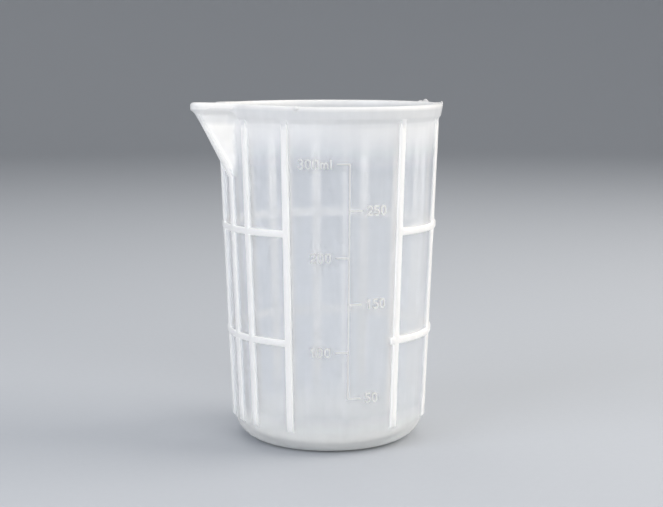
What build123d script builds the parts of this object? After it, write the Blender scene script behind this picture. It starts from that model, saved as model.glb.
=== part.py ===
from build123d import *
import os
from math import asin, atan2, cos, degrees, hypot, pi, radians, sin, tan

# Resin mixing cup, one silicone moulding, made here as its moulded features. Millimetres.
# The origin is the centre of the underside, +Z is up and the pouring beak points to -X.
# Angles of features are counted counter-clockwise from the beak, as seen from above.

# Cup body
cup_height = 112.5
base_radius = 31.6
mouth_radius = 36.15
wall_thickness = 1.5
floor_thickness = 2.5
base_rounding = 9.0

# Thick band at the mouth, with a sloped underside
rim_face_height = 3.8
rim_slope_height = 1.9
rim_proud = 1.3
rim_flare = 0.4

# Pouring beak: its reach is measured out from the mouth and its depth down from it, the half
# width is taken where the flanks run out inside the cup, and the keel starts below the beak
spout_reach = 13.35
spout_rise = 1.1
spout_rise_start = 20.0
spout_half_width = 8.34
spout_nose_radius = 2.3
spout_throat_radius = 4.4
spout_channel_radius = 1.0
spout_wall = 1.4
spout_depth = 21.5
spout_keel_depth = 1.8
spout_keel_proud = 0.7
spout_lip_overhang = 2.1
spout_lip_face_height = 2.5
spout_lip_slope_height = 1.8
spout_lip_proud = 1.2

# Ribs on the outside of the wall
rib_width = 2.2
rib_proud = 1.2
rib_foot_height = 7.7
rib_foot_slope_height = 0.9
rib_rounding = 0.4
rib_before_scale = 39.5
rib_after_scale = 101.7
other_rib_angles = (14.4, 137.0, 178.0, 220.0, 250.0, 278.5, 320.5, 344.0)

# Hoops between the ribs
hoop_width = 2.2
hoop_proud = 1.3
hoop_rounding = 0.5
hoop_overshoot = 1.0
hoop_height_shares = {"lower_hoop": 0.331, "upper_hoop": 0.645}

# Raised volume scale on the panel that the hoops leave open: its place is a share of the way
# between the two ribs, and its highest mark is measured down from the mouth
scale_place_share = 0.535
scale_relief = 0.3
scale_stroke = 0.45
lowest_mark_height = 19.3
highest_mark_depth = 17.7
mark_place_shares = {"50": 0, "100": 0.202, "150": 0.408, "200": 0.607, "250": 0.805, "300ml": 1}
tick_length = 4.2
numeral_gap = 1.5
numeral_height = 3.2
numeral_width = 1.95
numeral_stroke = 0.5
numeral_spacing = 0.45

# Cuts run this far past what they cut
overrun = 2.0

SPOUT_DIRECTION = 180
rib_angles = sorted(other_rib_angles + (rib_before_scale, rib_after_scale))
scale_angle = rib_before_scale + scale_place_share * (rib_after_scale - rib_before_scale)


def outer_radius(height):
    return base_radius + (mouth_radius - base_radius) * height / cup_height


def inner_radius(height):
    return outer_radius(height) - wall_thickness


def direction(angle):
    """The angle from the beak, as an angle from +X in degrees."""
    return SPOUT_DIRECTION + angle


def radial_plane(angle):
    """Upright plane through the axis: its x runs outwards and its y runs up."""
    turn = radians(direction(angle))
    return Plane(origin=(0, 0, 0), x_dir=(cos(turn), sin(turn), 0), z_dir=(sin(turn), -cos(turn), 0))


def facing_plane(angle, height):
    """Plane just outside the wall, as someone facing that side of the cup sees it."""
    turn = radians(direction(angle))
    distance = outer_radius(height) + overrun
    return Plane(
        origin=(distance * cos(turn), distance * sin(turn), height),
        x_dir=(-sin(turn), cos(turn), 0),
        z_dir=(cos(turn), sin(turn), 0),
    )


def level_plane(height):
    """Level plane whose x runs out along the beak."""
    return Plane(origin=(0, 0, height), x_dir=(-1, 0, 0), z_dir=(0, 0, 1))


# Heights that follow from the driving dimensions
heel_height = base_rounding + floor_thickness
rim_foot = cup_height - rim_face_height - rim_slope_height
rim_shoulder = cup_height - rim_face_height
tip_height = cup_height + spout_rise
lip_shoulder = tip_height - spout_lip_face_height
lip_foot = lip_shoulder - spout_lip_slope_height
spout_bottom = cup_height - spout_depth
keel_bottom = spout_bottom - spout_keel_depth
highest_mark_height = cup_height - highest_mark_depth
cut_top = tip_height + overrun
tip_reach = mouth_radius + spout_reach

# Solid of revolution that fills the cup's outer shape: what stands on the cup is fitted to it
with BuildPart() as cup_core:
    with BuildSketch(Plane.XZ):
        with BuildLine():
            Polyline(
                (0, 0),
                (base_radius, 0),
                (outer_radius(rim_foot), rim_foot),
                (outer_radius(rim_shoulder) + rim_proud, rim_shoulder),
                (mouth_radius + rim_proud + rim_flare, cup_height),
                (mouth_radius + rim_proud + rim_flare, cut_top),
                (0, cut_top),
                close=True,
            )
        core_outline = make_face()
        fillet(core_outline.vertices().sort_by_distance((base_radius, 0))[0], radius=base_rounding)
    revolve(axis=Axis.Z)

# Solid of revolution that fills the cup's inside
with BuildPart() as cup_hollow:
    with BuildSketch(Plane.XZ):
        with BuildLine():
            Polyline(
                (0, floor_thickness),
                (inner_radius(floor_thickness), floor_thickness),
                (inner_radius(cut_top), cut_top),
                (0, cut_top),
                close=True,
            )
        hollow_outline = make_face()
        fillet(
            hollow_outline.vertices().sort_by_distance((base_radius, floor_thickness))[0],
            radius=base_rounding - wall_thickness,
        )
    revolve(axis=Axis.Z)

# What is cut away above the mouth: the top is level and rises gently towards the beak's tip
with BuildPart() as above_mouth:
    with BuildSketch(Plane.XZ):
        with BuildLine():
            Polyline(
                (tip_reach + overrun, cup_height),
                (-spout_rise_start, cup_height),
                (-tip_reach, tip_height),
                (-tip_reach - overrun, tip_height),
                (-tip_reach - overrun, cut_top + overrun),
                (tip_reach + overrun, cut_top + overrun),
                close=True,
            )
        make_face()
    extrude(amount=tip_reach + overrun, both=True)


# The beak in plan: two straight flanks that run tangent into a round nose
keel_top_reach = tip_reach - spout_lip_overhang
nose_top_reach = keel_top_reach - spout_keel_proud
nose_slant = (nose_top_reach - outer_radius(spout_bottom)) / (lip_foot - spout_bottom)
keel_bottom_reach = outer_radius(keel_bottom) + rib_proud
keel_slant = (keel_top_reach - keel_bottom_reach) / (lip_foot - keel_bottom)
root_reach = outer_radius(spout_bottom) - 2 * spout_throat_radius - overrun
flank_run = nose_top_reach - spout_nose_radius - root_reach
flank_slant = atan2(spout_half_width, flank_run) - asin(
    spout_nose_radius / hypot(spout_half_width, flank_run)
)


def nose_reach(height):
    return outer_radius(spout_bottom) + nose_slant * (height - spout_bottom)


def beak_outline(nose, radius, slant):
    """Face between the two flanks, from inside the cup to the nose."""
    centre = nose - radius
    touch_x = centre + radius * sin(slant)
    touch_y = radius * cos(slant)
    root_y = touch_y + (touch_x - root_reach) * tan(slant)
    with BuildSketch() as outline:
        with BuildLine():
            Line((root_reach, -root_y), (touch_x, -touch_y))
            ThreePointArc((touch_x, -touch_y), (nose, 0), (touch_x, touch_y))
            Line((touch_x, touch_y), (root_reach, root_y))
            Line((root_reach, root_y), (root_reach, -root_y))
        make_face()
    return outline.sketch


with BuildPart() as beak_core:
    with BuildSketch(level_plane(keel_bottom)):
        add(beak_outline(nose_reach(keel_bottom), spout_throat_radius, 0))
    with BuildSketch(level_plane(lip_foot)):
        add(beak_outline(nose_top_reach, spout_nose_radius, flank_slant))
    loft(ruled=True)

with BuildPart() as beak_channel:
    with BuildSketch(level_plane(keel_bottom)):
        add(beak_outline(nose_reach(keel_bottom) - spout_wall, spout_throat_radius - spout_wall, 0))
    with BuildSketch(level_plane(cut_top)):
        add(beak_outline(nose_reach(cut_top) - spout_wall, spout_channel_radius, flank_slant))
    loft(ruled=True)

with BuildPart() as lip_core:
    with BuildSketch(level_plane(lip_foot)):
        add(beak_outline(nose_top_reach, spout_nose_radius, flank_slant))
    with BuildSketch(level_plane(lip_shoulder)):
        add(beak_outline(tip_reach, spout_nose_radius + spout_lip_proud, flank_slant))
    loft(ruled=True)
    with BuildSketch(level_plane(lip_shoulder)):
        add(beak_outline(tip_reach, spout_nose_radius + spout_lip_proud, flank_slant))
    extrude(amount=cut_top - lip_shoulder)

# Cup body as one shell, then parted into floor, heel, wall and rim band
with BuildPart() as cup_shell:
    add(cup_core.part)
    add(cup_hollow.part, mode=Mode.SUBTRACT)
    add(beak_channel.part, mode=Mode.SUBTRACT)
    add(above_mouth.part, mode=Mode.SUBTRACT)

with BuildPart() as floor_disc:
    with BuildSketch(Plane.XY):
        Circle(base_radius - base_rounding)
    extrude(amount=floor_thickness)

with BuildPart() as base_heel:
    add(cup_shell.part)
    split(bisect_by=Plane.XY.offset(heel_height), keep=Keep.BOTTOM)
    add(floor_disc.part, mode=Mode.SUBTRACT)

with BuildPart() as cup_wall:
    add(cup_shell.part)
    split(bisect_by=Plane.XY.offset(heel_height), keep=Keep.TOP)
    split(bisect_by=Plane.XY.offset(rim_foot), keep=Keep.BOTTOM)

with BuildPart() as rim_band:
    add(cup_shell.part)
    split(bisect_by=Plane.XY.offset(rim_foot), keep=Keep.TOP)

# Beak below its lip, and the lip round its top edge
with BuildPart() as spout_beak:
    add(beak_core.part)
    add(beak_channel.part, mode=Mode.SUBTRACT)
    add(cup_core.part, mode=Mode.SUBTRACT)

with BuildPart() as spout_lip:
    add(lip_core.part)
    add(beak_channel.part, mode=Mode.SUBTRACT)
    add(cup_core.part, mode=Mode.SUBTRACT)
    add(above_mouth.part, mode=Mode.SUBTRACT)


# Ribs: a flat bar in the radial plane, fitted to the wall and to the slope under the rim
def rib_bar(angle, outline):
    """Bar of a rib's width with the given outline, its two long outer edges rounded."""
    with BuildPart() as bar:
        with BuildSketch(radial_plane(angle)):
            with BuildLine():
                Polyline(*outline, close=True)
            make_face()
        extrude(amount=rib_width / 2, both=True)
        long_edges = bar.edges().filter_by(
            lambda edge: edge.length > rib_width * 2
            and hypot(edge.center().X, edge.center().Y) > outer_radius(edge.center().Z)
        )
        fillet(long_edges, radius=rib_rounding)
    return bar.part


def rib_foot_outline():
    """Inner and outer points of a rib's foot, from the inside outwards and up."""
    foot_face = rib_foot_height + rib_foot_slope_height
    return [
        (outer_radius(rib_foot_height) - overrun, rib_foot_height),
        (outer_radius(rib_foot_height) + rib_proud - rib_foot_slope_height, rib_foot_height),
        (outer_radius(foot_face) + rib_proud, foot_face),
    ]


pieces = {
    "floor_disc": floor_disc,
    "base_heel": base_heel,
    "cup_wall": cup_wall,
    "rim_band": rim_band,
    "spout_beak": spout_beak,
    "spout_lip": spout_lip,
}

for number, angle in enumerate(rib_angles, start=1):
    with BuildPart() as rib:
        top = [
            (outer_radius(rim_shoulder) + rib_proud, rim_shoulder),
            (outer_radius(rim_shoulder) - overrun, rim_shoulder),
        ]
        add(rib_bar(angle, rib_foot_outline() + top))
        add(cup_core.part, mode=Mode.SUBTRACT)
    pieces[f"rib_{number}"] = rib

with BuildPart() as rib_under_spout:
    top = [
        (keel_bottom_reach, keel_bottom),
        (keel_top_reach + keel_slant * spout_lip_slope_height, lip_shoulder),
        (root_reach, lip_shoulder),
        (root_reach, keel_bottom),
    ]
    add(rib_bar(0, rib_foot_outline() + top))
    add(cup_core.part, mode=Mode.SUBTRACT)
    add(beak_core.part, mode=Mode.SUBTRACT)
    add(lip_core.part, mode=Mode.SUBTRACT)
pieces["rib_under_spout"] = rib_under_spout

for name, share in hoop_height_shares.items():
    low = share * cup_height - hoop_width / 2
    high = low + hoop_width
    overshoot_angle = degrees((rib_width / 2 + hoop_overshoot) / outer_radius(low))
    first = direction(rib_before_scale + overshoot_angle)
    last = direction(rib_after_scale - overshoot_angle)
    with BuildPart() as hoop:
        with BuildSketch(Plane.XZ):
            with BuildLine():
                Polyline(
                    (outer_radius(low), low),
                    (outer_radius(low) + hoop_proud, low),
                    (outer_radius(high) + hoop_proud, high),
                    (outer_radius(high), high),
                    close=True,
                )
            section = make_face()
            fillet(section.vertices().sort_by(Axis.X)[-2:], radius=hoop_rounding)
        revolve(axis=Axis.Z)
        with BuildSketch(Plane.XY.offset(low - overrun)):
            for angle in rib_angles + [0]:
                Rectangle(
                    mouth_radius * 2, rib_width, rotation=direction(angle), align=(Align.MIN, Align.CENTER)
                )
            with BuildLine():
                reach = mouth_radius * 2
                Polyline(
                    (0, 0),
                    (reach * cos(radians(first)), reach * sin(radians(first))),
                    (reach * cos(radians(last)), reach * sin(radians(last))),
                    close=True,
                )
            make_face()
        extrude(amount=hoop_width + overrun * 2, mode=Mode.SUBTRACT)
    pieces[name] = hoop


# Volume scale: a line with a tick at each mark, and the numbers left and right of it in turn
mark_names = tuple(mark_place_shares)
mark_heights = [
    lowest_mark_height + share * (highest_mark_height - lowest_mark_height)
    for share in mark_place_shares.values()
]

with BuildPart() as relief_band:
    with BuildSketch(Plane.XZ):
        with BuildLine():
            Polyline(
                (outer_radius(heel_height), heel_height),
                (outer_radius(heel_height) + scale_relief, heel_height),
                (outer_radius(rim_foot) + scale_relief, rim_foot),
                (outer_radius(rim_foot), rim_foot),
                close=True,
            )
        make_face()
    revolve(axis=Axis.Z)

with BuildPart() as scale_lines:
    with BuildSketch(facing_plane(scale_angle, lowest_mark_height)):
        line_length = highest_mark_height - lowest_mark_height + scale_stroke
        with Locations((0, -scale_stroke / 2)):
            Rectangle(scale_stroke, line_length, align=(Align.CENTER, Align.MIN))
        for step, height in enumerate(mark_heights):
            side = Align.MIN if step % 2 == 0 else Align.MAX
            with Locations((0, height - lowest_mark_height)):
                Rectangle(tick_length, scale_stroke, align=(side, Align.CENTER))
    extrude(amount=2 * overrun + abs(mouth_radius - base_radius), both=True)
    add(relief_band.part, mode=Mode.INTERSECT)
pieces["scale_lines"] = scale_lines

# Strokes of each character in shares of its width and height: two points are a line, three an
# arc. A nought has none, because it is a ring.
glyph_shares = {
    "0": [],
    "1": [[(0.2, 0.76), (0.6, 1)], [(0.6, 1), (0.6, 0)]],
    "2": [[(0, 0.78), (0.55, 1), (0.95, 0.66)], [(0.95, 0.66), (0, 0)], [(0, 0), (1, 0)]],
    "3": [[(0.05, 0.9), (0.95, 0.78), (0.4, 0.54)], [(0.4, 0.54), (1, 0.27), (0, 0.1)]],
    "5": [[(0.9, 1), (0.1, 1)], [(0.1, 1), (0.05, 0.56)], [(0.05, 0.56), (1, 0.33), (0, 0.07)]],
    "m": [
        [(0, 0), (0, 0.64)],
        [(0, 0.44), (0.25, 0.64), (0.5, 0.44)],
        [(0.5, 0.44), (0.5, 0)],
        [(0.5, 0.44), (0.75, 0.64), (1, 0.44)],
        [(1, 0.44), (1, 0)],
    ],
    "l": [[(0.5, 0), (0.5, 1)]],
}
glyph_width_shares = {"m": 1.35, "l": 0.3}


def glyph_width(character):
    return numeral_width * glyph_width_shares.get(character, 1)


def text_width(text):
    return sum(glyph_width(character) for character in text) + numeral_spacing * (len(text) - 1)


def nought_face():
    """A nought: a ring with two straight sides."""
    with BuildSketch() as face:
        SlotOverall(numeral_height, numeral_width, rotation=90)
        SlotOverall(
            numeral_height - 2 * numeral_stroke,
            numeral_width - 2 * numeral_stroke,
            rotation=90,
            mode=Mode.SUBTRACT,
        )
    return face.sketch


def numeral_face(text):
    """The strokes of a text, centred, each with round ends."""
    with BuildSketch() as face:
        left = -text_width(text) / 2
        for character in text:
            wide = glyph_width(character) - numeral_stroke
            tall = numeral_height - numeral_stroke
            if character == "0":
                with Locations((left + numeral_width / 2, 0)):
                    add(nought_face())
            for stroke in glyph_shares[character]:
                points = [(left + numeral_stroke / 2 + x * wide, (y - 1 / 2) * tall) for x, y in stroke]
                edge = Edge.make_line(*points) if len(points) == 2 else Edge.make_three_point_arc(*points)
                trace(edge, line_width=numeral_stroke)
                with Locations(points[0], points[-1]):
                    Circle(numeral_stroke / 2)
            left += glyph_width(character) + numeral_spacing
    return face.sketch


for step, text in enumerate(mark_names):
    height = mark_heights[step]
    side = 1 if step % 2 == 0 else -1
    offset = side * (tick_length + numeral_gap + text_width(text) / 2)
    with BuildPart() as numeral:
        with BuildSketch(facing_plane(scale_angle + degrees(offset / outer_radius(height)), height)):
            add(numeral_face(text))
        extrude(amount=overrun * 2, both=True)
        add(relief_band.part, mode=Mode.INTERSECT)
    pieces[f"numeral_{text}"] = numeral

os.makedirs("parts", exist_ok=True)
for name, piece in pieces.items():
    piece.part.label = name
    export_step(piece.part, f"parts/{name}.step")

above_brim = pi * inner_radius(cup_height) ** 2 * (cut_top - cup_height)
print("held to the brim, mm3:", round(cup_hollow.part.volume - above_brim))
print("silicone, mm3:", round(sum(piece.part.volume for piece in pieces.values())))
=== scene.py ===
import math
from collections import namedtuple

import bmesh
import bpy
from bpy.props import FloatProperty, FloatVectorProperty, PointerProperty
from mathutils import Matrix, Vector


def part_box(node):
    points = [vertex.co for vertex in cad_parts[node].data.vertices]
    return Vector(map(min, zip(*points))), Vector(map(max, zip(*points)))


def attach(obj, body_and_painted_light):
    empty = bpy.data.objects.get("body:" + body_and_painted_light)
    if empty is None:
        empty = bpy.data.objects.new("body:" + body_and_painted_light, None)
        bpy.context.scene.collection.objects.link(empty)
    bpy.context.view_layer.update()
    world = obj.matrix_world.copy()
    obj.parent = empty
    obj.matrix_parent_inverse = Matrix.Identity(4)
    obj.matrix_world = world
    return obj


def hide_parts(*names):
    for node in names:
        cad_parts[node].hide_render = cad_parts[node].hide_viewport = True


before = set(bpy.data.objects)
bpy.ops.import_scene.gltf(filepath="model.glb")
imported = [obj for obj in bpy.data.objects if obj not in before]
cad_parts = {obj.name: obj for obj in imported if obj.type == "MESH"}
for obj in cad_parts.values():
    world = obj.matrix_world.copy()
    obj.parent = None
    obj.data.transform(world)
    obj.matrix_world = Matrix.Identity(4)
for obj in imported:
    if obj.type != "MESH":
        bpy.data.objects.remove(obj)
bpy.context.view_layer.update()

bl_info = {
    "name": "Resin mixing cup",
    "version": (1, 0, 0),
    "blender": (4, 5, 0),
    "location": "3D View > Sidebar > Mixing Cup",
    "description": "Dresses the mixing cup in milky silicone and sets it on a pale table",
    "category": "Add Mesh",
}

MM = 0.001


def lowest(node, axis):
    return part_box(node)[0][axis]


def highest(node, axis):
    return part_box(node)[1][axis]


def share_between(start, end, value):
    """How far value is on the way from start to end, from 0 to 1."""
    return min(max((value - start) / (end - start), 0), 1)


def eased(share):
    return share * share * (3 - 2 * share)


def linear(hex_colour):
    """A hex colour as seen on screen, as the linear values that a shader takes."""
    values = [int(hex_colour[i : i + 2], 16) / 255 for i in (1, 3, 5)]
    return [v / 12.92 if v <= 0.04045 else ((v + 0.055) / 1.055) ** 2.4 for v in values] + [1]


def mixed(start, end, share):
    return start + (end - start) * share


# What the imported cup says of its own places, in metres
heel_top = highest("base_heel", 2)
heel_top_radius = highest("base_heel", 0)
rim_foot = highest("cup_wall", 2)
rim_foot_radius = highest("cup_wall", 0)
rim_radius = highest("rim_band", 0)
floor_thickness = highest("floor_disc", 2)
tip_reach = -lowest("spout_lip", 0)
tip_height = highest("spout_lip", 2)
lip_foot = lowest("spout_lip", 2)
rib_foot = lowest("rib_1", 2)
hoops = ("lower_hoop", "upper_hoop")
ribs = [name for name in sorted(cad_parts) if name.startswith("rib_") and name[-1].isdigit()]
numbers = [name for name in sorted(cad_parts) if name.startswith("numeral_")]
moulded_nodes = [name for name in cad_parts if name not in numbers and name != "scale_lines"]


def length_setting(name, description, millimetres):
    """A length of the cup that the sidebar shows."""
    return FloatProperty(name=name, description=description, default=millimetres * MM, unit="LENGTH")


def colour_setting(name, description, hex_colour):
    """A colour that the sidebar shows."""
    return FloatVectorProperty(
        name=name, description=description, default=linear(hex_colour), size=4, subtype="COLOR"
    )


class CupSizes(bpy.types.PropertyGroup):
    """Sizes of the moulding that its packed boxes don't give."""

    mouth_height: length_setting("Mouth height", "Height of the level part of the rim", 112.5)
    wall_thickness: length_setting("Wall thickness", "Thickness of the wall", 1.5)
    heel_rounding: length_setting("Heel rounding", "Radius of the corner between bottom and wall", 9)
    rim_face_height: length_setting("Rim face", "Height of the rim's outer face", 3.8)
    rim_proud: length_setting("Rim proud", "How far the rim stands proud of the wall at its shoulder", 1.3)
    rim_rounding: length_setting("Rim rounding", "Radius of the rim's outer edge", 0.6)
    tip_rounding: length_setting("Tip rounding", "Radius of the beak's top edge", 1.1)
    tip_rise_start: length_setting(
        "Rise start", "Distance from the axis where the rim starts to rise towards the beak", 20
    )
    nose_radius: length_setting("Nose radius", "Radius of the beak's nose under its lip", 2.3)
    throat_radius: length_setting(
        "Throat radius", "Radius of the beak's nose where it leaves the wall", 4.4
    )
    channel_radius: length_setting("Channel radius", "Radius of the channel's end at the tip", 1.15)
    flank_slant: FloatProperty(
        name="Flank slant",
        description="Angle between the beak's flanks and its middle line, in degrees",
        default=16.6,
    )
    nose_sink: length_setting(
        "Nose sink", "How far inside the wall's outside the nose starts at the beak's foot", 1.15
    )
    beak_corner: length_setting(
        "Beak corner", "Reach of the soft corner where the beak leaves the wall", 2.5
    )
    keel_proud: length_setting("Keel proud", "How far the keel stands out past the nose under the lip", 0.7)
    beak_depth: length_setting("Beak depth", "How far below the mouth the beak starts", 23.3)
    beak_wall: length_setting("Beak wall", "Wall of the beak at its nose", 1.4)
    nose_overhang: length_setting("Lip overhang", "How far the lip stands out past the nose", 2.8)
    lip_face_height: length_setting("Lip face", "Height of the lip's outer face", 2.5)
    lip_proud: length_setting("Lip proud", "How far the lip stands proud of the beak's flanks", 1.2)
    rib_width: length_setting("Rib width", "Width of the ribs", 2.2)
    rib_proud: length_setting("Rib proud", "Height of the ribs over the wall", 1.2)
    rib_foot_step: length_setting("Rib foot step", "Height of the slope at a rib's foot", 0.9)
    hoop_proud: length_setting("Hoop proud", "Height of the hoops over the wall", 1.3)
    hoop_fade: length_setting("Hoop fade", "How softly a hoop's edge shows through the wall", 0.6)
    hoop_overshoot: length_setting(
        "Hoop overshoot", "How far a hoop runs past the ribs beside the scale", 1.0
    )
    edge_rounding: length_setting("Edge rounding", "Radius of the long edges of ribs and hoops", 0.4)
    root_rounding: length_setting("Root rounding", "Radius in the corner between a rib and the wall", 0.25)
    flash_thickness: length_setting(
        "Flash thickness", "Thickness of the torn moulding flash on the rim", 0.3
    )
    flash_inset: length_setting("Flash inset", "How far inside the rim's outside the flash stands", 0.48)
    pip_inset: length_setting("Pip inset", "How far inside the rim's outside the pip's middle is", 0.15)
    pip_drop: length_setting("Pip drop", "How far below the mouth the pip's middle is", 0.35)
    pip_width: length_setting("Pip width", "Width of the pip on the rim", 1.7)
    pip_angle: FloatProperty(
        name="Pip angle", description="Direction of the pip from the beak, in degrees", default=46.4
    )
    scale_depth: length_setting(
        "Scale depth", "How deep the line and the numbers are rooted in the wall", 0.2
    )


class CupColours(bpy.types.PropertyGroup):
    """Colours of the silicone and of the table."""

    thin_silicone: colour_setting("Thin silicone", "Colour of the bare wall", "#e7eaee")
    thick_silicone: colour_setting("Thick silicone", "Colour of the ribs, hoops and rim", "#faf8f4")
    # The heel's colour is its faint warm tone, lightened as painted light against the shade under the cup
    heel_tone_and_painted_light: colour_setting("Heel silicone", "Colour of the rounded bottom corner", "#f9f9f6")
    table: colour_setting("Table", "Colour of the table and of the sweep behind it", "#c2c5c9")


# Angles are counted counter-clockwise from the beak, which points to -X, in degrees
BEAK_DIRECTION = 180
PANEL_STEP = 1.7
BEAK_STEP = 0.62
BEAK_ZONE = 11.5
BEAK_BLEND_START = 8.0
BEAK_BLEND_END = 11.0
BEAK_SIDE = 45

# Heights between rings on the wall, on the beak's outside and in its channel, in metres
WALL_RING_STEP = 5 * MM
BEAK_RING_STEP = 1.5 * MM
CHANNEL_RING_STEP = 1.6 * MM

# Where the other rings are: shares of the rim's slope and face, and directions round the corners
rim_slope_shares = (0.35, 0.7, 0.92)
rim_face_shares = (0.08, 0.4, 0.7)
rim_edge_turns = (0, 22, 45, 68, 90)
heel_turns = (-90, -80, -70, -60, -50, -40, -30, -20)
inner_corner_turns = (-14, -26, -39, -52, -65, -78, -90)

# Places closer than these count as one, or as touching, in metres, and angles as one, in degrees
SAME_PLACE = 0.01 * MM
NEAR = 0.1 * MM
SAME_ANGLE = 1e-6
SAME_MARK_POINT = 0.002 * MM

# Corners sharper than SHARP are rounded off, and duller ones than SMOOTH are shaded away, in degrees
SHARP = 60
SMOOTH = 50
MARK_SMOOTH = 30

# A face of a raised mark is its front where it looks outwards by more than this cosine
FRONT_COSINE = 0.8

# The share of a rib's height that counts as its top, and where up the rim's slope its rounding ends
TOP_SHARE = 0.9
ROUNDING_END_SHARE = 0.75

# How thick places count for the material, from 0 on the bare wall to 1 on a rib; at the heel and under the
# rim the wall is whitened as painted light, though it is no thicker there
RIM_THICK_AND_PAINTED_LIGHT = 0.6
RIM_TOP_THICK = 0.9
HEEL_PAINTED_LIGHT = 0.85
BEAK_THICK = 0.7

# Over which heights or distances this fades out, in metres
RIM_PAINTED_LIGHT_FADE = 16 * MM
HEEL_PAINTED_LIGHT_FADE = 4 * MM
beak_fade = (1 * MM, 3 * MM)
RIB_FADE_START = 0.05 * MM

# The share of a rib's height from which it counts as thick, and how far the rim's thick top goes
# down, as a share of its rounding
RIB_THICK_SHARE = 0.7
RIM_TOP_SHARE = 1.5

# What shows of the silicone: its alpha on the bare wall and where it is thick
THIN_ALPHA = 0.27
THICK_ALPHA = 0.95

# Clouds and streaks change the thickness that counts by up to half of this either way
UNEVENNESS = 0.3
STREAK_PART = 0.4

# Its patterns, in metres: milky clouds, streaks that the stretch makes 38 mm tall, and satin grain
CLOUD_SIZE = 20 * MM
STREAK_WIDTH = 3.03 * MM
STREAK_STRETCH = 0.08
GRAIN_SIZE = 1 * MM
WAVE_DEPTH = 0.6 * MM
GRAIN_DEPTH = 0.1 * MM

# Between these heights the heel's colour takes over, in metres; it is a faint warm tone lightened as
# painted light against the shade of the downward-facing heel
HEEL_COLOUR_TOP = 14 * MM
HEEL_COLOUR_FULL = 3 * MM

# How far light spreads inside the moulding and inside the small raised marks, in metres, and how much
MOULDING_SCATTER = 4 * MM
MOULDING_SCATTERED = 0.72
MARK_SCATTER = 0.3 * MM
MARK_SCATTERED = 0

# Slivers of flash on the rim: name, first and last angle, heights between them and lean, both in mm
flash_slivers = (
    ("flash_behind", (176, 186), (0, 0.35, 0.75, 0.9, 0.6, 0.3, 0.05, 0.4, 0.25, 0), 0.1),
    ("flash_right", (147, 166), (0, 0.1, 0.5, 0.7, 0.35, 0.2, 0.1, 0.05, 0), 0.35),
)
FLASH_CUTS = 4

# The pip is a ball, pressed flat towards the axis and a little in height
pip_shape = (0.6, 1, 0.75)

# The stage, in metres
SWEEP_FLAT = 1.4
SWEEP_CURVE = 0.8
SWEEP_STEPS = 16
SWEEP_COLUMNS = 96
BOARD_GRAIN_SIZE = 2.5 * MM
BOARD_GRAIN_DEPTH = 0.2 * MM

# Soft lights: name, place and height of the aim in metres, side in metres, power in watts, colour
soft_lights = (
    ("softbox_right", (0.75, -0.35, 0.65), 0.06, 0.7, 6.5, "#fffaf4"),
    ("softbox_left", (-0.85, -0.2, 0.5), 0.06, 0.6, 3.6, "#eef3ff"),
    ("softbox_front", (-0.1, -0.95, 0.55), 0.06, 0.7, 3.2, "#ffffff"),
    ("ceiling", (0.15, 0.3, 0.95), 0.05, 0.9, 3.6, "#ffffff"),
)
ROOM_COLOUR = "#e2e5ea"
ROOM_STRENGTH = 0.38

# The camera as it was fitted to the photo: place in metres, turn and tilt in degrees, lens in mm
camera_place = (-225.2 * MM, -423.5 * MM, 129.0 * MM)
CAMERA_ASIDE = 0.87 * MM
CAMERA_TURN = -28
CAMERA_TILT = 82.04
CAMERA_LENS = 77.74

Ring = namedtuple("Ring", "kind radius height reach nose beak_height rise")
Column = namedtuple("Column", "left right share")
Grid = namedtuple("Grid", "rings columns first_ring last_ring hoop_bands open_columns beak_columns")


def wall_radius(height):
    """Outer radius of the tapered wall."""
    slope = (rim_foot_radius - heel_top_radius) / (rim_foot - heel_top)
    return heel_top_radius + slope * (height - heel_top)


def rib_angle(node):
    """Direction of a rib or of the scale from the beak."""
    places = [vertex.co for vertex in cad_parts[node].data.vertices]
    x = sum(place.x for place in places)
    y = sum(place.y for place in places)
    return (math.degrees(math.atan2(y, x)) - BEAK_DIRECTION) % 360


def soft_max(first, second, reach):
    """The larger of two, with a rounded corner where they are within reach of each other."""
    overlap = max(reach - abs(first - second), 0) / reach
    return max(first, second) + overlap * overlap * reach / 4


def beak_hit(angle, nose_reach, nose, slant):
    """Distance from the axis to the beak's outline in plan, in a direction in radians."""
    centre = nose_reach - nose
    touch_x = centre + nose * math.sin(slant)
    touch_y = nose * math.cos(slant)
    angle = abs(angle)
    if angle <= math.atan2(touch_y, touch_x):
        return centre * math.cos(angle) + math.sqrt(nose**2 - (centre * math.sin(angle)) ** 2)
    toward_wall = math.sin(angle) + math.cos(angle) * math.tan(slant)
    return (touch_y + touch_x * math.tan(slant)) / toward_wall


class Beak:
    """The beak's outlines at any height."""

    def __init__(self, sizes):
        self.sizes = sizes
        self.foot = sizes.mouth_height - sizes.beak_depth
        self.nose_reach = tip_reach - sizes.nose_overhang
        self.lip_shoulder = tip_height - sizes.lip_face_height
        self.slant = math.radians(sizes.flank_slant)
        self.foot_reach = wall_radius(self.foot) - sizes.nose_sink

    def core(self, height):
        """Nose reach, nose radius and flank slant of the outside under the lip."""
        share = (height - self.foot) / (lip_foot - self.foot)
        return (
            mixed(self.foot_reach, self.nose_reach, share),
            mixed(self.sizes.throat_radius, self.sizes.nose_radius, share),
            mixed(0, self.slant, share),
        )

    def channel(self, height):
        """The same for the channel inside."""
        share = (height - self.foot) / (tip_height - self.foot)
        lengthened = (tip_height - self.foot) / (lip_foot - self.foot)
        end_reach = mixed(self.foot_reach, self.nose_reach, lengthened)
        return (
            mixed(self.foot_reach, end_reach, share) - self.sizes.beak_wall,
            mixed(self.sizes.throat_radius - self.sizes.beak_wall, self.sizes.channel_radius, share),
            mixed(0, self.slant, share),
        )


def spaced(start, end, step):
    """Places from start to end, both left out, about one step apart."""
    count = max(round(abs(end - start) / step), 1)
    return [mixed(start, end, number / count) for number in range(1, count)]


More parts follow.
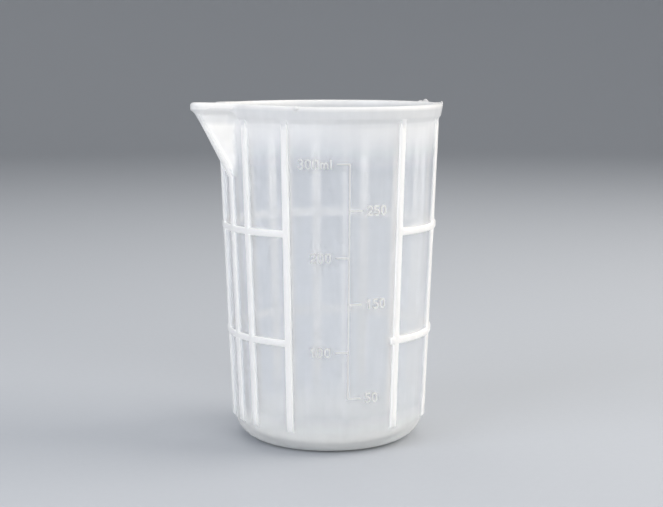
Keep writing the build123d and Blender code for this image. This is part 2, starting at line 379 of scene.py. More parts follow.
def heel_rings(sizes):
    """Rings of the flat bottom and the rounded heel, up to where the wall starts."""
    taper = math.atan((rim_foot_radius - heel_top_radius) / (rim_foot - heel_top))
    rounding = sizes.heel_rounding
    centre = wall_radius(rounding) - rounding / math.cos(taper)
    points = [(0, 0), (centre / 3, 0), (centre * 2 / 3, 0)]
    rib_foot_turn = math.degrees(math.asin(rib_foot / rounding - 1))
    for turn in heel_turns + (rib_foot_turn, -math.degrees(taper)):
        turn = math.radians(turn)
        points.append((centre + rounding * math.cos(turn), rounding * (1 + math.sin(turn))))
    return [Ring("heel", radius, height, 0, 0, height, 0) for radius, height in points]


def wall_rings(beak, start):
    """Rings of the outer wall, with one at each edge of a hoop, up to the rim's foot."""
    edges = [start] + [height for hoop in hoops for height in (lowest(hoop, 2), highest(hoop, 2))]
    edges += [beak.foot, rim_foot]
    heights = []
    for low, high in zip(edges, edges[1:]):
        step = BEAK_RING_STEP if low >= beak.foot else WALL_RING_STEP
        heights += [low] + spaced(low, high, step)
    heights = heights[1:] + [rim_foot]
    stretch = (lip_foot - beak.foot) / (rim_foot - beak.foot)
    rings = []
    for z in heights:
        beak_height = beak.foot + (z - beak.foot) * stretch if z > beak.foot else z
        rings.append(Ring("wall", wall_radius(z), z, 0, 0, beak_height, 0))
    return rings


def rim_rings(sizes, beak):
    """Rings of the rim and of the beak's lip: slope, shoulder, face, rounded edge and flat top."""
    shoulder = sizes.mouth_height - sizes.rim_face_height
    shoulder_radius = wall_radius(shoulder) + sizes.rim_proud
    lip_nose = sizes.nose_radius + sizes.lip_proud
    rings = []

    def ring(radius, height, reach, nose, beak_height, rise):
        rings.append(Ring("rim", radius, height, reach, nose, beak_height, rise))

    for share in rim_slope_shares:
        ring(
            mixed(rim_foot_radius, shoulder_radius, share),
            mixed(rim_foot, shoulder, share),
            mixed(beak.nose_reach, tip_reach, share),
            mixed(sizes.nose_radius, lip_nose, share),
            mixed(lip_foot, beak.lip_shoulder, share),
            0,
        )
    rounding, tip_rounding = sizes.rim_rounding, sizes.tip_rounding
    face_top = sizes.mouth_height - rounding
    for share in rim_face_shares:
        ring(
            mixed(shoulder_radius, rim_radius, share),
            mixed(shoulder, face_top, share),
            tip_reach,
            lip_nose,
            mixed(beak.lip_shoulder, tip_height - tip_rounding, share),
            share,
        )
    for turn in rim_edge_turns:
        inset = 1 - math.cos(math.radians(turn))
        drop = 1 - math.sin(math.radians(turn))
        ring(
            rim_radius - rounding * inset,
            sizes.mouth_height - rounding * drop,
            tip_reach - tip_rounding * inset,
            lip_nose - tip_rounding * inset,
            tip_height - tip_rounding * drop,
            1,
        )
    inner = wall_radius(sizes.mouth_height) - sizes.wall_thickness
    end_reach, end_nose = beak.channel(tip_height)[:2]
    edge = rounding / 2
    for share in (0.5, 1):
        ring(
            mixed(rim_radius - rounding, inner + edge, share),
            sizes.mouth_height,
            mixed(tip_reach - tip_rounding, end_reach + edge, share),
            mixed(lip_nose - tip_rounding, end_nose + edge, share),
            tip_height,
            1,
        )
    # One ring halfway round the inner edge
    inset = drop = edge * (1 - math.sqrt(0.5))
    top = sizes.mouth_height - drop
    ring(inner + inset, top, end_reach + inset, end_nose + inset, tip_height - drop, 1)
    return rings


def inside_rings(sizes, beak):
    """Rings of the inner wall, the inner corner and the floor."""
    top = sizes.mouth_height - sizes.rim_rounding / 2
    rounding = sizes.heel_rounding - sizes.wall_thickness
    taper = math.atan((rim_foot_radius - heel_top_radius) / (rim_foot - heel_top))
    corner = floor_thickness + rounding
    heights = [top] + spaced(top, beak.foot, CHANNEL_RING_STEP) + [beak.foot]
    edges = []
    for hoop in reversed(hoops):
        high, low = highest(hoop, 2), lowest(hoop, 2)
        edges += [high + sizes.hoop_fade, high, low, low - sizes.hoop_fade]
    for high, low in zip([beak.foot] + edges, edges + [corner]):
        heights += spaced(high, low, WALL_RING_STEP) + [low]
    heights.pop()
    rings = []
    for z in heights:
        rise = share_between(beak.foot, sizes.mouth_height, z) ** 2
        beak_height = z + (tip_height - sizes.mouth_height) * rise
        rings.append(Ring("inside", wall_radius(z) - sizes.wall_thickness, z, 0, 0, beak_height, rise))
    centre = wall_radius(corner) - sizes.wall_thickness - rounding / math.cos(taper)
    for turn in (-math.degrees(taper),) + inner_corner_turns:
        turn = math.radians(turn)
        height = corner + rounding * math.sin(turn)
        rings.append(Ring("floor", centre + rounding * math.cos(turn), height, 0, 0, height, 0))
    for share in (2 / 3, 1 / 3, 0):
        rings.append(Ring("floor", centre * share, floor_thickness, 0, 0, floor_thickness, 0))
    return rings


def half_width_angle(sizes, radius):
    """Half the width of a rib at this distance from the axis, in degrees."""
    return math.degrees(math.asin(sizes.rib_width / 2 / radius))


def panel_columns(left, right, sizes, scale_panel):
    """Columns between the edges of two ribs: close together beside the beak."""
    half = half_width_angle(sizes, wall_radius(sizes.mouth_height / 2))
    start, end = left + half, right - half
    if left == 0:
        places = spaced(start, BEAK_ZONE, BEAK_STEP) + [BEAK_ZONE] + spaced(BEAK_ZONE, end, PANEL_STEP)
    elif right == 360:
        zone = 360 - BEAK_ZONE
        places = spaced(start, zone, PANEL_STEP) + [zone] + spaced(zone, end, BEAK_STEP)
    elif scale_panel:
        edge = math.degrees(sizes.hoop_overshoot / wall_radius(sizes.mouth_height / 2))
        places = [start + edge] + spaced(start + edge, end - edge, PANEL_STEP) + [end - edge]
    else:
        places = spaced(start, end, PANEL_STEP)
    shares = [0] + [(place - start) / (end - start) for place in places] + [1]
    return [Column(left, right, share) for share in shares]


def moulding_columns(sizes, rib_angles, scale_panel):
    """All columns once round, from the beak's middle."""
    columns = [Column(0, 0, 0), Column(0, 0, 0.5)]
    for left, right in zip([0] + rib_angles, rib_angles + [360]):
        columns += panel_columns(left, right, sizes, left == scale_panel)
    return columns + [Column(360, 360, -0.5)]


def column_angle(column, rib_half_angle, beak_half_angle):
    """Direction of a column on a ring, where the ribs have these half widths, in degrees."""
    if column.left == column.right:
        return column.left + column.share * beak_half_angle
    left_half = beak_half_angle if column.left == 0 else rib_half_angle
    right_half = beak_half_angle if column.right == 360 else rib_half_angle
    return mixed(column.left + left_half, column.right - right_half, column.share)


def beak_place(ring, angle, sizes, beak):
    """Radius and height of a ring in a direction in degrees from the beak."""
    off_beak = min(angle % 360, 360 - angle % 360)
    turn = math.radians(off_beak)
    lift = 1 - eased(share_between(BEAK_BLEND_START, BEAK_BLEND_END, off_beak))
    height = mixed(ring.height, ring.beak_height, lift)
    if ring.kind in ("heel", "floor"):
        return ring.radius, ring.height
    radius = ring.radius
    corner = sizes.beak_corner
    if off_beak < BEAK_SIDE and ring.kind == "wall":
        radius = wall_radius(height)
        if height > beak.foot:
            radius = soft_max(radius, beak_hit(turn, *beak.core(height)), corner)
    elif off_beak < BEAK_SIDE and ring.kind == "inside":
        radius = wall_radius(height) - sizes.wall_thickness
        if height > beak.foot:
            radius = soft_max(radius, beak_hit(turn, *beak.channel(height)), corner)
    elif off_beak < BEAK_SIDE:
        radius = soft_max(radius, beak_hit(turn, ring.reach, ring.nose, beak.slant), corner)
    along = radius * math.cos(math.radians(angle))
    rise = tip_height - sizes.mouth_height
    risen = rise * share_between(sizes.tip_rise_start, tip_reach, along)
    height += ring.rise * mixed(risen, risen - rise, lift)
    return radius, height


def ring_half_angles(ring, sizes, beak):
    """Half widths in degrees of an ordinary rib and of the rib under the beak on a ring."""
    usual = min(max(ring.radius, wall_radius(0)), rim_radius)
    rib_half = beak_half = half_width_angle(sizes, usual)
    if ring.kind in ("wall", "rim"):
        # Each round starts from a better radius, and four rounds settle it
        for _ in range(4):
            beak_half = half_width_angle(sizes, beak_place(ring, beak_half, sizes, beak)[0])
    elif ring.kind == "inside":
        beak_half = half_width_angle(sizes, beak_place(ring, 0, sizes, beak)[0])
    return rib_half, beak_half


def row_point(angle, radius, height):
    turn = math.radians(BEAK_DIRECTION + angle)
    return Vector((radius * math.cos(turn), radius * math.sin(turn), height))


def start_chain(name, points):
    """A new object whose mesh is one open chain of edges through the points, drawn point by point."""
    bpy.ops.object.select_all(action="DESELECT")
    bpy.ops.mesh.primitive_plane_add(size=MM)
    piece = bpy.context.object
    piece.name = piece.data.name = name
    bpy.ops.object.mode_set(mode="EDIT")
    bpy.ops.mesh.select_mode(type="VERT")
    bpy.ops.mesh.select_all(action="SELECT")
    bpy.ops.mesh.merge(type="CENTER")
    bpy.ops.transform.translate(value=points[0])
    for start, end in zip(points, points[1:]):
        bpy.ops.mesh.extrude_vertices_move(TRANSFORM_OT_translate={"value": end - start})
    return piece


def spin_chain(angles):
    """Spin the chain once round the cup's axis, with a column at each of the given angles."""
    gaps = [end - start for start, end in zip(angles, angles[1:] + [angles[0] + 360])]
    bpy.ops.mesh.select_all(action="SELECT")
    while gaps:
        alike = 1
        while alike < len(gaps) and abs(gaps[alike] - gaps[0]) < SAME_ANGLE:
            alike += 1
        turn = math.radians(gaps[0] * alike)
        bpy.ops.mesh.spin(steps=alike, angle=turn, center=(0, 0, 0), axis=(0, 0, -1))
        gaps = gaps[alike:]
    bpy.ops.mesh.select_all(action="SELECT")
    bpy.ops.mesh.remove_doubles(threshold=SAME_PLACE)
    bpy.ops.mesh.normals_make_consistent(inside=False)


def tag_grid(piece, rings, angles):
    """Note on each vertex which ring and which column it belongs to."""
    ring_tag = piece.data.attributes.new("ring", "INT", "POINT")
    column_tag = piece.data.attributes.new("column", "INT", "POINT")
    by_place = {}
    for vertex in piece.data.vertices:
        x, y, z = vertex.co
        radius = math.hypot(x, y)
        key = (round(radius / MM, 2), round(z / MM, 2))
        if key not in by_place:
            by_place[key] = min(
                range(len(rings)),
                key=lambda i: (rings[i].radius - radius) ** 2 + (rings[i].height - z) ** 2,
            )
        ring_tag.data[vertex.index].value = by_place[key]
        angle = (math.degrees(math.atan2(y, x)) - BEAK_DIRECTION) % 360
        nearest = min(range(len(angles)), key=lambda i: abs((angle - angles[i] + 180) % 360 - 180))
        column_tag.data[vertex.index].value = nearest


def feature_height(ring, sizes, hoop_bands):
    """How far a rib, a hoop or the keel stands proud at a place of the grid."""
    if ring.height < rib_foot + sizes.rib_foot_step / 2:
        return sizes.rib_proud - sizes.rib_foot_step
    for low, high in hoop_bands:
        if low - SAME_PLACE < ring.height < high + SAME_PLACE:
            return sizes.hoop_proud
    return sizes.rib_proud


def keel_reach(height, sizes, beak):
    """Distance of the keel's edge from the axis at a height under the beak."""
    start = wall_radius(beak.foot) + sizes.rib_proud
    end = beak.nose_reach + sizes.keel_proud
    return mixed(start, end, (height - beak.foot) / (lip_foot - beak.foot))


def select_edges(mesh, test):
    """Select the edges between two faces that pass the test."""
    bpy.ops.mesh.select_all(action="DESELECT")
    bpy.ops.mesh.select_mode(type="EDGE")
    for edge in mesh.edges:
        if len(edge.link_faces) == 2 and test(edge):
            edge.select = True
    bmesh.update_edit_mesh(bpy.context.edit_object.data)


def moulding_grid(sizes, beak):
    """The rings and columns of the moulding, and which of them its features take up."""
    rib_angles = sorted(rib_angle(node) for node in ribs)
    scale_direction = rib_angle("scale_lines")
    scale_panel = max(angle for angle in rib_angles if angle < scale_direction)
    columns = moulding_columns(sizes, rib_angles, scale_panel)
    scale_columns = [i for i, column in enumerate(columns) if column.left == scale_panel]
    heel = heel_rings(sizes)
    rings = heel + wall_rings(beak, heel[-1].height) + rim_rings(sizes, beak) + inside_rings(sizes, beak)
    return Grid(
        rings=rings,
        columns=columns,
        # Features start at the ribs' feet and end on the rim's slope
        first_ring=len(heel) - 2,
        last_ring=next(i for i, ring in enumerate(rings) if ring.kind == "rim") + 2,
        hoop_bands=[(lowest(hoop, 2), highest(hoop, 2)) for hoop in hoops],
        # The lower hoop runs past the rib on the right by one column, the upper one doesn't
        open_columns=[set(scale_columns[:-2]), set(scale_columns[:-1])],
        # The keel is four faces wide, and these are the columns on their left
        beak_columns={len(columns) - 2, len(columns) - 1, 0, 1},
    )


def spin_skin(grid, sizes, beak):
    """Spin the cup's profile into a skin, and put its vertices where beak and ribs want them."""
    middle = half_width_angle(sizes, wall_radius(sizes.mouth_height / 2))
    angles = [column_angle(column, middle, middle) for column in grid.columns]
    piece = start_chain("cup_moulding", [row_point(0, ring.radius, ring.height) for ring in grid.rings])
    spin_chain(angles)
    bpy.ops.object.mode_set(mode="OBJECT")
    tag_grid(piece, grid.rings, angles)
    half_angles = [ring_half_angles(ring, sizes, beak) for ring in grid.rings]
    ring_tags = piece.data.attributes["ring"].data
    column_tags = piece.data.attributes["column"].data
    for vertex in piece.data.vertices:
        number = ring_tags[vertex.index].value
        ring = grid.rings[number]
        if ring.radius == 0:
            continue
        angle = column_angle(grid.columns[column_tags[vertex.index].value], *half_angles[number])
        vertex.co = row_point(angle, *beak_place(ring, angle, sizes, beak))
    return piece


def is_raised(grid, rows, across):
    """Whether the face between these rings and columns belongs to a rib, a hoop or the keel."""
    low, left = min(rows), min(across)
    if max(across) - left > 1:
        left = max(across)
    if not grid.first_ring <= low <= grid.last_ring:
        return False
    start, end = grid.columns[left], grid.columns[(left + 1) % len(grid.columns)]
    if left in grid.beak_columns or start.left != end.left:
        return True
    middle_height = (grid.rings[low].height + grid.rings[low + 1].height) / 2
    for (bottom, top), gap in zip(grid.hoop_bands, grid.open_columns):
        if bottom < middle_height < top:
            return left not in gap
    return False


def raise_features(piece, grid, sizes, beak):
    """Extrude the ribs, the hoops and the keel out of the skin."""
    bpy.ops.object.mode_set(mode="EDIT")
    mesh = bmesh.from_edit_mesh(piece.data)
    ring_layer = mesh.verts.layers.int["ring"]
    column_layer = mesh.verts.layers.int["column"]
    bpy.ops.mesh.select_all(action="DESELECT")
    bpy.ops.mesh.select_mode(type="FACE")
    for face in mesh.faces:
        rows = {vertex[ring_layer] for vertex in face.verts}
        across = {vertex[column_layer] for vertex in face.verts}
        if len(face.verts) == 4 and len(rows) == 2 and is_raised(grid, rows, across):
            face.select = True
    bmesh.update_edit_mesh(piece.data)
    bpy.ops.mesh.extrude_region_move()
    mesh = bmesh.from_edit_mesh(piece.data)
    ring_layer = mesh.verts.layers.int["ring"]
    column_layer = mesh.verts.layers.int["column"]
    # The four faces of the keel have five columns
    keel_columns = grid.beak_columns | {2}
    for vertex in mesh.verts:
        if not vertex.select:
            continue
        ring = grid.rings[vertex[ring_layer]]
        radius, height = vertex.co.xy.length, vertex.co.z
        on_rim = ring.kind == "rim"
        proud = sizes.rib_proud if on_rim else feature_height(ring, sizes, grid.hoop_bands)
        target = wall_radius(height) + proud
        if vertex[column_layer] in keel_columns and height > beak.foot:
            target = max(keel_reach(height, sizes, beak), 0 if on_rim else target)
        if target > radius:
            vertex.co.xy *= target / radius
    bmesh.update_edit_mesh(piece.data)
    bpy.ops.mesh.select_all(action="SELECT")
    bpy.ops.mesh.remove_doubles(threshold=SAME_PLACE)


def round_features(piece, sizes):
    """Round the long edges of ribs and hoops, and the corners in which they meet the wall."""
    shoulder = sizes.mouth_height - sizes.rim_face_height
    top = mixed(rim_foot, shoulder, ROUNDING_END_SHARE)

    def is_outer_edge(edge):
        for vertex in edge.verts:
            if not rib_foot + sizes.rib_foot_step * TOP_SHARE < vertex.co.z < top:
                return False
            if vertex.co.xy.length < wall_radius(vertex.co.z) + sizes.rib_proud * TOP_SHARE:
                return False
        return edge.calc_face_angle_signed(0) > math.radians(SHARP)

    def is_root_edge(edge):
        for vertex in edge.verts:
            if not rib_foot < vertex.co.z < top:
                return False
            if abs(vertex.co.xy.length - wall_radius(vertex.co.z)) > NEAR:
                return False
        return edge.calc_face_angle_signed(0) < -math.radians(SHARP)

    select_edges(bmesh.from_edit_mesh(piece.data), is_outer_edge)
    bpy.ops.mesh.bevel(offset=sizes.edge_rounding, segments=3, affect="EDGES", clamp_overlap=False)
    select_edges(bmesh.from_edit_mesh(piece.data), is_root_edge)
    bpy.ops.mesh.bevel(offset=sizes.root_rounding, segments=2, affect="EDGES", clamp_overlap=False)


def build_moulding(sizes):
    beak = Beak(sizes)
    grid = moulding_grid(sizes, beak)
    piece = spin_skin(grid, sizes, beak)
    raise_features(piece, grid, sizes, beak)
    round_features(piece, sizes)
    bpy.ops.object.mode_set(mode="OBJECT")
    bpy.ops.object.shade_smooth_by_angle(angle=math.radians(SMOOTH))
    note_thickness_and_painted_light(piece, grid, sizes, beak)
    return piece


def build_flash(name, angles, heights, lean, sizes):
    """A torn sliver of moulding flash that stands on the rim's outer edge between two angles."""
    bpy.ops.object.select_all(action="DESELECT")
    across = len(heights) * FLASH_CUTS
    bpy.ops.mesh.primitive_grid_add(x_subdivisions=across, y_subdivisions=FLASH_CUTS, size=2)
    piece = bpy.context.object
    piece.name = piece.data.name = name
    foot = sizes.mouth_height - sizes.rim_rounding
    for vertex in piece.data.vertices:
        along = (vertex.co.x + 1) / 2
        up = (vertex.co.y + 1) / 2
        place = along * (len(heights) - 1)
        low = min(int(place), len(heights) - 2)
        top = mixed(heights[low], heights[low + 1], place - low) * MM
        height = mixed(foot, sizes.mouth_height + top, up)
        radius = rim_radius - sizes.flash_inset + lean * up * MM
        vertex.co = row_point(mixed(*angles, along), radius, height)
    bpy.ops.object.modifier_add(type="SOLIDIFY")
    piece.modifiers[-1].thickness = sizes.flash_thickness
    piece.modifiers[-1].offset = 0
    bpy.ops.object.modifier_apply(modifier=piece.modifiers[-1].name)
    bpy.ops.object.mode_set(mode="EDIT")
    bpy.ops.mesh.select_all(action="SELECT")
    bpy.ops.mesh.normals_make_consistent(inside=False)
    bpy.ops.object.mode_set(mode="OBJECT")
    bpy.ops.object.shade_smooth_by_angle(angle=math.radians(SMOOTH))
    fill_thickness(piece, RIM_TOP_THICK)
    return piece


def build_pip(sizes):
    """The small pip on the rim's outer top edge beside the scale."""
    bpy.ops.object.select_all(action="DESELECT")
    bpy.ops.mesh.primitive_uv_sphere_add(segments=24, ring_count=12, radius=sizes.pip_width / 2)
    piece = bpy.context.object
    piece.name = piece.data.name = "rim_pip"
    bpy.ops.object.mode_set(mode="EDIT")
    bpy.ops.mesh.select_all(action="SELECT")
    bpy.ops.transform.resize(value=pip_shape)
    bpy.ops.transform.rotate(
        value=-math.radians(BEAK_DIRECTION + sizes.pip_angle), orient_axis="Z", center_override=(0, 0, 0)
    )
    height = sizes.mouth_height - sizes.pip_drop
    middle = row_point(sizes.pip_angle, rim_radius - sizes.pip_inset, height)
    bpy.ops.transform.translate(value=middle)
    bpy.ops.object.mode_set(mode="OBJECT")
    bpy.ops.object.shade_smooth()
    fill_thickness(piece, 1)
    return piece


def fill_thickness(piece, value):
    """The same thickness all over a small piece."""
    thickness_and_light_layer = piece.data.attributes.new("thickness", "FLOAT", "POINT")
    for place in thickness_and_light_layer.data:
        place.value = value


def is_behind_feature(grid, column, height):
    """Whether a rib or a hoop is outside this place of the inner wall."""
    if grid.columns[column].share in (0, 1, 0.5, -0.5):
        # The edge of a rib, or of the keel
        return True
    return any(
        low - NEAR < height < high + NEAR and column not in gap
        for (low, high), gap in zip(grid.hoop_bands, grid.open_columns)
    )


def note_thickness_and_painted_light(piece, grid, sizes, beak):
    """How thick the silicone is at each vertex, 0 on the bare wall and 1 on ribs and hoops; painted light
    also whitens the heel and the wall under the rim.
    """
    ring_tags = [tag.value for tag in piece.data.attributes["ring"].data]
    column_tags = [tag.value for tag in piece.data.attributes["column"].data]
    thickness_and_light_layer = piece.data.attributes.new("thickness", "FLOAT", "POINT")
    for vertex in piece.data.vertices:
        z = vertex.co.z
        proud = vertex.co.xy.length - wall_radius(z)
        inside = grid.rings[ring_tags[vertex.index]].kind == "inside"
        value = 0
        if z < rim_foot:
            value = share_between(RIB_FADE_START, sizes.rib_proud * RIB_THICK_SHARE, proud)
        if inside and rib_foot < z < rim_foot and is_behind_feature(grid, column_tags[vertex.index], z):
            value = 1
        # Painted light: the wall is whitened over a fade below the rim, where it is no thicker, as if lit
        # from above; on the rim band itself the value stands for its real thickness
        value = max(value, RIM_THICK_AND_PAINTED_LIGHT * eased(share_between(rim_foot - RIM_PAINTED_LIGHT_FADE, rim_foot, z)))
        if z > sizes.mouth_height - sizes.rim_rounding * RIM_TOP_SHARE:
            value = max(value, RIM_TOP_THICK)
        # Painted light: the heel is whitened and made less clear against its shade and the contact shadow
        # under it
        value = max(value, HEEL_PAINTED_LIGHT * eased(share_between(rib_foot + HEEL_PAINTED_LIGHT_FADE, 0, z)))
        if z > beak.foot:
            value = max(value, BEAK_THICK * share_between(*beak_fade, proud))
        thickness_and_light_layer.data[vertex.index].value = value


def add_node(tree, kind, inputs=None, **settings):
    """A node with its settings, and its inputs set to values or linked to other sockets."""
    node = tree.nodes.new(kind)
    for name, value in settings.items():
        setattr(node, name, value)
    for name, value in (inputs or {}).items():
        if isinstance(value, bpy.types.NodeSocket):
            tree.links.new(value, node.inputs[name])
        else:
            node.inputs[name].default_value = value
    return node


def new_material(name):
    material = bpy.data.materials.new(name)
    material.use_nodes = True
    material.node_tree.nodes.clear()
    return material, material.node_tree


def milky_silicone(name, colours, scatter, scattered):
    """Moulded silicone rubber: milky, satin, and clearer where the wall is thin."""
    material, tree = new_material(name)
    thickness = add_node(tree, "ShaderNodeAttribute", attribute_name="thickness")
    place = add_node(tree, "ShaderNodeTexCoord").outputs["Object"]
    height = add_node(tree, "ShaderNodeSeparateXYZ", {"Vector": place}).outputs["Z"]

    # Milky clouds, and streaks down the wall
    cloud = add_node(
        tree,
        "ShaderNodeTexNoise",
        {"Vector": place, "Scale": 1 / CLOUD_SIZE, "Detail": 3.0, "Roughness": 0.5},
    ).outputs["Fac"]
    drawn_out = add_node(tree, "ShaderNodeMapping", {"Vector": place, "Scale": (1, 1, STREAK_STRETCH)})
    streak = add_node(
        tree,
        "ShaderNodeTexNoise",
        {"Vector": drawn_out.outputs["Vector"], "Scale": 1 / STREAK_WIDTH, "Detail": 2.0},
    ).outputs["Fac"]
    uneven = add_node(
        tree, "ShaderNodeMix", {"Factor": STREAK_PART, "A": cloud, "B": streak}, data_type="FLOAT"
    ).outputs["Result"]
    shift = add_node(
        tree,
        "ShaderNodeMath",
        {0: uneven, 1: UNEVENNESS, 2: -UNEVENNESS / 2},
        operation="MULTIPLY_ADD",
    ).outputs[0]
    # The attribute read here also carries painted light, which makes the heel and the wall under the rim
    # whiter and less clear
    body_and_painted_light = add_node(
        tree, "ShaderNodeMath", {0: thickness.outputs["Fac"], 1: shift}, operation="ADD", use_clamp=True
    ).outputs[0]
    alpha = add_node(
        tree, "ShaderNodeMapRange", {"Value": body_and_painted_light, "To Min": THIN_ALPHA, "To Max": THICK_ALPHA}
    )

    colour = add_node(
        tree,
        "ShaderNodeMix",
        {"Factor": body_and_painted_light, "A": colours.thin_silicone[:], "B": colours.thick_silicone[:]},
        data_type="RGBA",
    ).outputs["Result"]
    # Painted light: the heel takes its faint warm tone, lightened against the shade it lies in
    heel_tone_and_light_share = add_node(
        tree,
        "ShaderNodeMapRange",
        {"Value": height, "From Min": HEEL_COLOUR_TOP, "From Max": HEEL_COLOUR_FULL},
        interpolation_type="SMOOTHSTEP",
    ).outputs["Result"]
    colour = add_node(
        tree,
        "ShaderNodeMix",
        {"Factor": heel_tone_and_light_share, "A": colour, "B": colours.heel_tone_and_painted_light[:]},
        data_type="RGBA",
    ).outputs["Result"]

    # Satin grain from the mould, over the slow waves of a soft wall
    grain = add_node(
        tree, "ShaderNodeTexNoise", {"Vector": place, "Scale": 1 / GRAIN_SIZE, "Detail": 2.0}
    )
    waves = add_node(
        tree, "ShaderNodeBump", {"Height": uneven, "Strength": 0.2, "Distance": WAVE_DEPTH}
    )
    bump = add_node(
        tree,
        "ShaderNodeBump",
        {
            "Height": grain.outputs["Fac"],
            "Strength": 0.1,
            "Distance": GRAIN_DEPTH,
            "Normal": waves.outputs["Normal"],
        },
    )
    rough = add_node(tree, "ShaderNodeMapRange", {"Value": cloud, "To Min": 0.26, "To Max": 0.42})
    shader = add_node(
        tree,
        "ShaderNodeBsdfPrincipled",
        {
            "Base Color": colour,
            "Roughness": rough.outputs["Result"],
            "IOR": 1.41,
            "Alpha": alpha.outputs["Result"],
            "Subsurface Weight": scattered,
            "Subsurface Radius": (scatter, scatter, scatter),
            "Subsurface Scale": 1.0,
            "Normal": bump.outputs["Normal"],
        },
        subsurface_method="BURLEY",
    )
    add_node(tree, "ShaderNodeOutputMaterial", {"Surface": shader.outputs["BSDF"]})
    return material


def table_material(colours):
    """Painted board, matt, with a faint roller grain: the plain floor and sweep."""
    material, tree = new_material("matt_painted_board")
    place = add_node(tree, "ShaderNodeTexCoord").outputs["Object"]
    grain = add_node(
        tree, "ShaderNodeTexNoise", {"Vector": place, "Scale": 1 / BOARD_GRAIN_SIZE, "Detail": 3.0}
    )
    bump = add_node(
        tree,
        "ShaderNodeBump",
        {"Height": grain.outputs["Fac"], "Strength": 0.1, "Distance": BOARD_GRAIN_DEPTH},
    )
    rough = add_node(
        tree, "ShaderNodeMapRange", {"Value": grain.outputs["Fac"], "To Min": 0.5, "To Max": 0.7}
    )
    shader = add_node(
        tree,
        "ShaderNodeBsdfPrincipled",
        {
            "Base Color": colours.table[:],
            "Roughness": rough.outputs["Result"],
            "Normal": bump.outputs["Normal"],
        },
    )
    add_node(tree, "ShaderNodeOutputMaterial", {"Surface": shader.outputs["BSDF"]})
    return material


def finish_piece(piece, material, *nodes):
    piece.data.materials.clear()
    piece.data.materials.append(material)
    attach(piece, "root")
    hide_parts(*nodes)


class MIXINGCUP_OT_moulding(bpy.types.Operator):
    """Spin the cup's wall, pull out its beak and raise its ribs and hoops"""

    bl_idname = "mixing_cup.moulding"
    bl_label = "Cup Moulding"

    def execute(self, context):
        piece = build_moulding(context.scene.cup_sizes)
        colours = context.scene.cup_colours
        material = milky_silicone("milky_silicone_moulded", colours, MOULDING_SCATTER, MOULDING_SCATTERED)
        finish_piece(piece, material, *moulded_nodes)
        return {"FINISHED"}


class MIXINGCUP_OT_volume_scale(bpy.types.Operator):
    """Root the raised line and numbers of the volume scale in the wall"""

    bl_idname = "mixing_cup.volume_scale"
    bl_label = "Volume Scale"

    def execute(self, context):
        sizes = context.scene.cup_sizes
        colours = context.scene.cup_colours
        material = milky_silicone("milky_silicone_raised", colours, MARK_SCATTER, MARK_SCATTERED)
        for node in ["scale_lines"] + numbers:
            piece = relief_piece(node, sizes)
            finish_piece(piece, material, node)
        return {"FINISHED"}


def relief_piece(node, sizes):
    """A copy of a raised mark, merged, with its back sunk into the wall."""
    name = node.replace("numeral", "number").replace("scale_lines", "volume_line")
    piece = bpy.data.objects.new(name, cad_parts[node].data.copy())
    bpy.context.scene.collection.objects.link(piece)
    bpy.ops.object.select_all(action="DESELECT")
    piece.select_set(True)
    bpy.context.view_layer.objects.active = piece
    bpy.ops.object.mode_set(mode="EDIT")
    bpy.ops.mesh.select_all(action="SELECT")
    bpy.ops.mesh.remove_doubles(threshold=SAME_MARK_POINT)
    bpy.ops.object.mode_set(mode="OBJECT")
    for vertex in piece.data.vertices:
        radius = vertex.co.xy.length
        if radius < wall_radius(vertex.co.z) + NEAR:
            vertex.co.xy *= (radius - sizes.scale_depth) / radius
    fill_thickness(piece, 1)
    bpy.ops.object.shade_smooth_by_angle(angle=math.radians(MARK_SMOOTH))
    smooth_fronts(piece)
    return piece


def smooth_fronts(piece):
    """Shade the fronts of a raised mark as the round wall behind them is shaded."""
    mesh = piece.data
    normals = []
    for polygon in mesh.polygons:
        outward = Vector((polygon.center.x, polygon.center.y, 0)).normalized()
        is_front = polygon.normal.dot(outward) > FRONT_COSINE
        for loop in polygon.loop_indices:
            place = mesh.vertices[mesh.loops[loop].vertex_index].co
            outward = Vector((place.x, place.y, 0)).normalized()
            normals.append(outward if is_front else polygon.normal.copy())
    mesh.normals_split_custom_set(normals)


class MIXINGCUP_OT_rim_flash(bpy.types.Operator):
    """Leave the pip and the torn slivers of moulding flash on the rim"""

    bl_idname = "mixing_cup.rim_flash"
    bl_label = "Rim Flash"

    def execute(self, context):
        sizes = context.scene.cup_sizes
        material = bpy.data.materials["milky_silicone_raised"]
        finish_piece(build_pip(sizes), material)
        for sliver in flash_slivers:
            finish_piece(build_flash(*sliver, sizes), material)
        return {"FINISHED"}


class MIXINGCUP_OT_stage(bpy.types.Operator):
    """Lay the pale table, hang the soft lights and aim the camera"""

    bl_idname = "mixing_cup.stage"
    bl_label = "Table, Lights and Camera"

    def execute(self, context):
        floor = build_sweep()
        floor.data.materials.append(table_material(context.scene.cup_colours))
        for light in soft_lights:
            add_light(*light)
        light_room(context.scene)
        aim_camera(context.scene)
        return {"FINISHED"}


def light_room(scene):
    """Even, pale light from all sides."""
    world = bpy.data.worlds.new("soft_room")
    scene.world = world
    world.use_nodes = True
    background = world.node_tree.nodes["Background"]
    background.inputs["Color"].default_value = linear(ROOM_COLOUR)
    background.inputs["Strength"].default_value = ROOM_STRENGTH
    scene.view_settings.view_transform = "Standard"


def aim_camera(scene):
    """A camera that sees the cup as the photo does."""
    data = bpy.data.cameras.new("camera")
    data.lens = CAMERA_LENS
    camera = bpy.data.objects.new("camera", data)
    scene.collection.objects.link(camera)
    turn = math.radians(CAMERA_TURN)
    aside = Vector((math.cos(turn), math.sin(turn), 0)) * CAMERA_ASIDE
    camera.location = Vector(camera_place) + aside
    camera.rotation_euler = (math.radians(CAMERA_TILT), 0, turn)
    scene.camera = camera


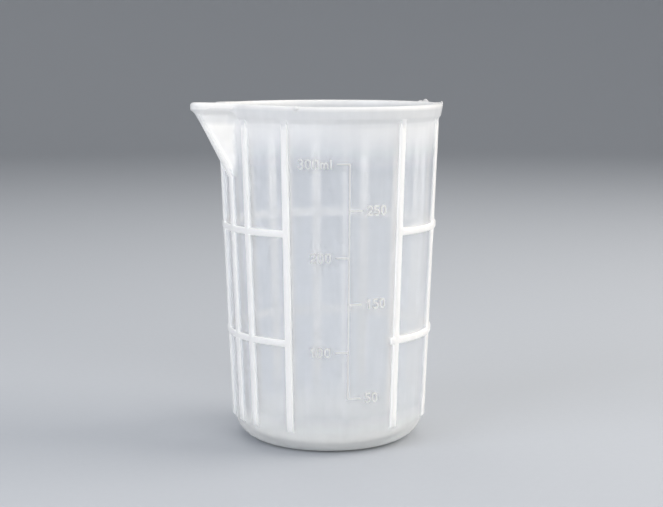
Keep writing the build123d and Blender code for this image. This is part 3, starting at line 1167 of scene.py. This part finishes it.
def build_sweep():
    """A round floor that curves up all round the cup, so that no edge of it shows."""
    points = [Vector((0, 0, 0)), Vector((SWEEP_FLAT, 0, 0))]
    for step in range(1, SWEEP_STEPS + 1):
        turn = math.radians(90 * step / SWEEP_STEPS)
        outwards, up = math.sin(turn), 1 - math.cos(turn)
        points.append(Vector((SWEEP_FLAT + SWEEP_CURVE * outwards, 0, SWEEP_CURVE * up)))
    points.append(points[-1] + Vector((0, 0, SWEEP_CURVE / 2)))
    floor = start_chain("sweep", points)
    spin_chain([360 * column / SWEEP_COLUMNS for column in range(SWEEP_COLUMNS)])
    bpy.ops.object.mode_set(mode="OBJECT")
    bpy.ops.object.shade_smooth()
    return floor


def add_light(name, place, aim_height, size, power, hex_colour):
    """A square soft light that faces a point on the cup's axis."""
    data = bpy.data.lights.new(name, "AREA")
    data.size = size
    data.energy = power
    data.color = linear(hex_colour)[:3]
    light = bpy.data.objects.new(name, data)
    light.location = place
    to_cup = Vector((0, 0, aim_height)) - Vector(place)
    light.rotation_euler = to_cup.to_track_quat("-Z", "Y").to_euler()
    bpy.context.scene.collection.objects.link(light)


class MIXINGCUP_PT_sidebar(bpy.types.Panel):
    bl_idname = "MIXINGCUP_PT_sidebar"
    bl_label = "Mixing Cup"
    bl_space_type = "VIEW_3D"
    bl_region_type = "UI"
    bl_category = "Mixing Cup"

    def draw(self, context):
        for operator in operators:
            self.layout.operator(operator.bl_idname)
        for group in (context.scene.cup_sizes, context.scene.cup_colours):
            for name in group.bl_rna.properties.keys():
                if name not in ("rna_type", "name"):
                    self.layout.prop(group, name)


operators = (
    MIXINGCUP_OT_moulding,
    MIXINGCUP_OT_volume_scale,
    MIXINGCUP_OT_rim_flash,
    MIXINGCUP_OT_stage,
)
classes = (CupSizes, CupColours) + operators + (MIXINGCUP_PT_sidebar,)


def register():
    for item in classes:
        bpy.utils.register_class(item)
    bpy.types.Scene.cup_sizes = PointerProperty(type=CupSizes)
    bpy.types.Scene.cup_colours = PointerProperty(type=CupColours)


def unregister():
    del bpy.types.Scene.cup_colours
    del bpy.types.Scene.cup_sizes
    for item in reversed(classes):
        bpy.utils.unregister_class(item)


def main():
    register()
    bpy.ops.mixing_cup.moulding()
    bpy.ops.mixing_cup.volume_scale()
    bpy.ops.mixing_cup.rim_flash()
    bpy.ops.mixing_cup.stage()


if __name__ == "__main__":
    main()
